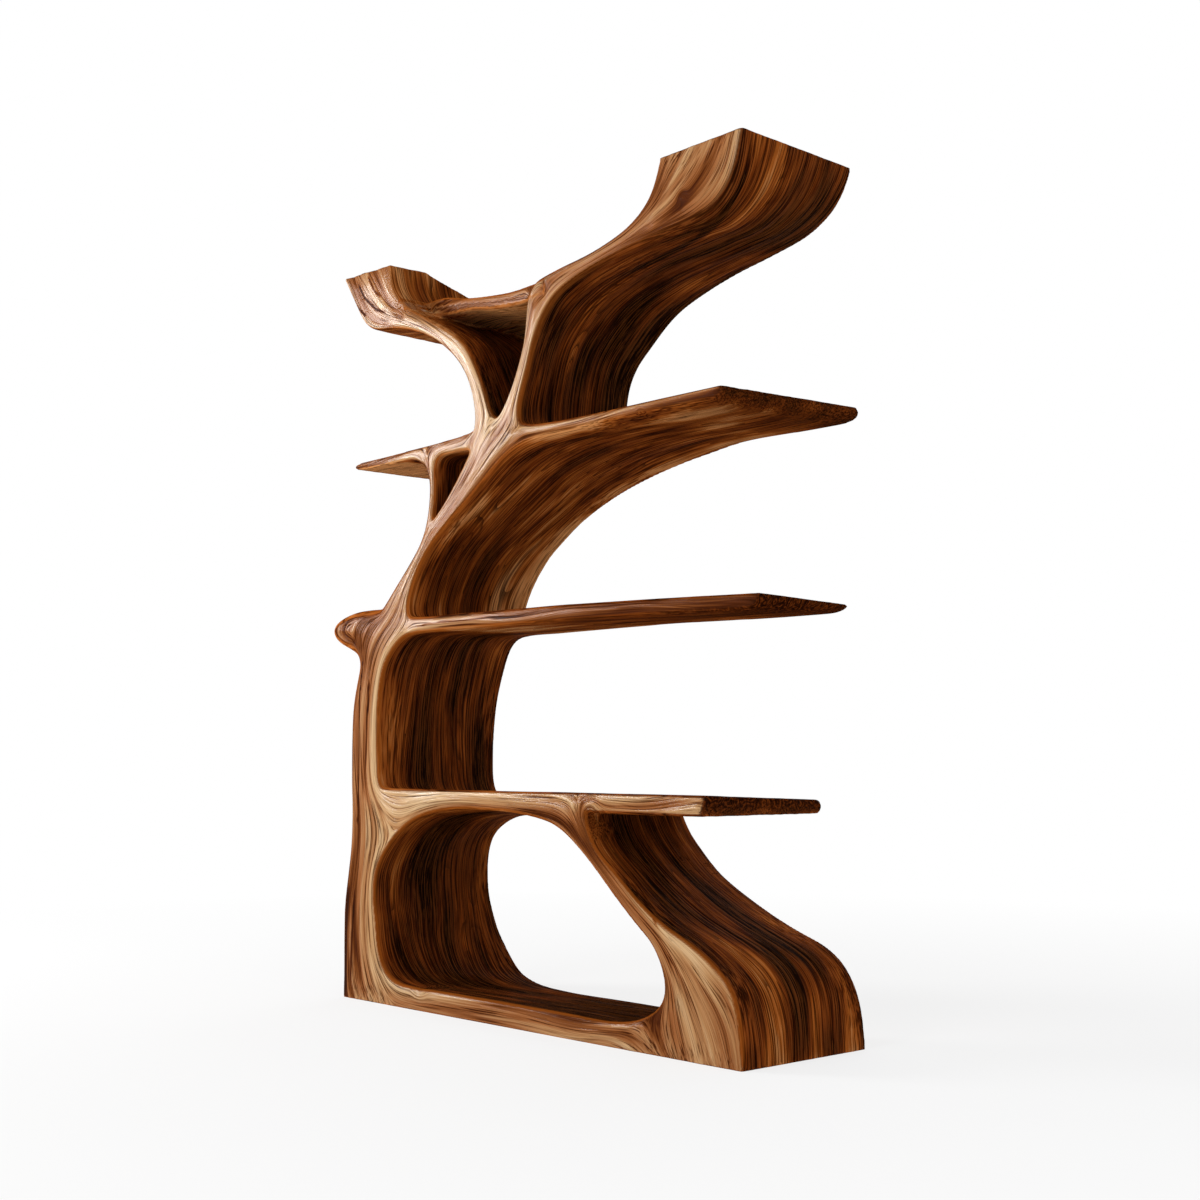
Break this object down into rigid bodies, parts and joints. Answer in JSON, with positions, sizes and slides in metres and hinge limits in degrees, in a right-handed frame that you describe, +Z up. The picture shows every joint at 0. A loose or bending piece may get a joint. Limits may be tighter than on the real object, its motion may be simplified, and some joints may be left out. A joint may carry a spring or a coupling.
{
  "type": "tree shaped bookshelf",
  "caption": "Freestanding wooden bookshelf carved like a tree, with a trunk on a long base, shelves as boughs, and a forked crown.",
  "frame": {"origin": "On the floor under the middle of the whole: the middle of the base's width and depth within the outermost points, at the underside of the base.", "axes": "+X to the right as seen from the front, the way the long shelves reach; +Y from the front face to the back; +Z up."},
  "size_m": [1.399, 0.35, 1.75],
  "materials": {
    "heartwood_section": "oiled and polished, semi-gloss",
    "sapwood_section": "oiled and polished, semi-gloss",
    "tenon_wood": "plain, unfinished"
  },
  "bodies": {
    "root": {"base_rail": "sapwood_section", "trunk_foot": "heartwood_section", "boot": "sapwood_section", "leg": "heartwood_section", "shelf_1": "heartwood_section", "trunk_stem": "heartwood_section", "trunk_neck": "heartwood_section", "shelf_2": "heartwood_section", "stub": "sapwood_section", "bough": "sapwood_section", "left_strut": "sapwood_section", "left_shelf": "sapwood_section", "left_shelf_tip": "sapwood_section", "fork": "sapwood_section", "shelf_3": "heartwood_section", "left_branch": "heartwood_section", "left_crown": "heartwood_section", "bridge": "heartwood_section", "right_branch": "heartwood_section", "right_crown": "heartwood_section", "tenon_foot_to_rail": "tenon_wood", "tenon_rail_to_boot": "tenon_wood", "tenon_boot_to_leg": "tenon_wood", "tenon_leg_to_shelf_1": "tenon_wood", "tenon_foot_to_stem": "tenon_wood", "tenon_stem_to_shelf_1": "tenon_wood", "tenon_stem_to_neck": "tenon_wood", "tenon_neck_to_shelf_2": "tenon_wood", "tenon_neck_to_stub": "tenon_wood", "tenon_neck_to_bough": "tenon_wood", "tenon_bough_to_strut": "tenon_wood", "tenon_strut_to_left_shelf": "tenon_wood", "tenon_left_shelf_to_tip": "tenon_wood", "tenon_left_shelf_to_fork": "tenon_wood", "tenon_bough_to_fork": "tenon_wood", "tenon_fork_to_shelf_3": "tenon_wood", "tenon_fork_to_left_branch": "tenon_wood", "tenon_fork_to_right_branch": "tenon_wood", "tenon_left_branch_to_crown": "tenon_wood", "tenon_right_branch_to_crown": "tenon_wood", "tenon_bridge_to_left_branch": "tenon_wood", "tenon_bridge_to_right_branch": "tenon_wood"}
  },
  "joints": []
}
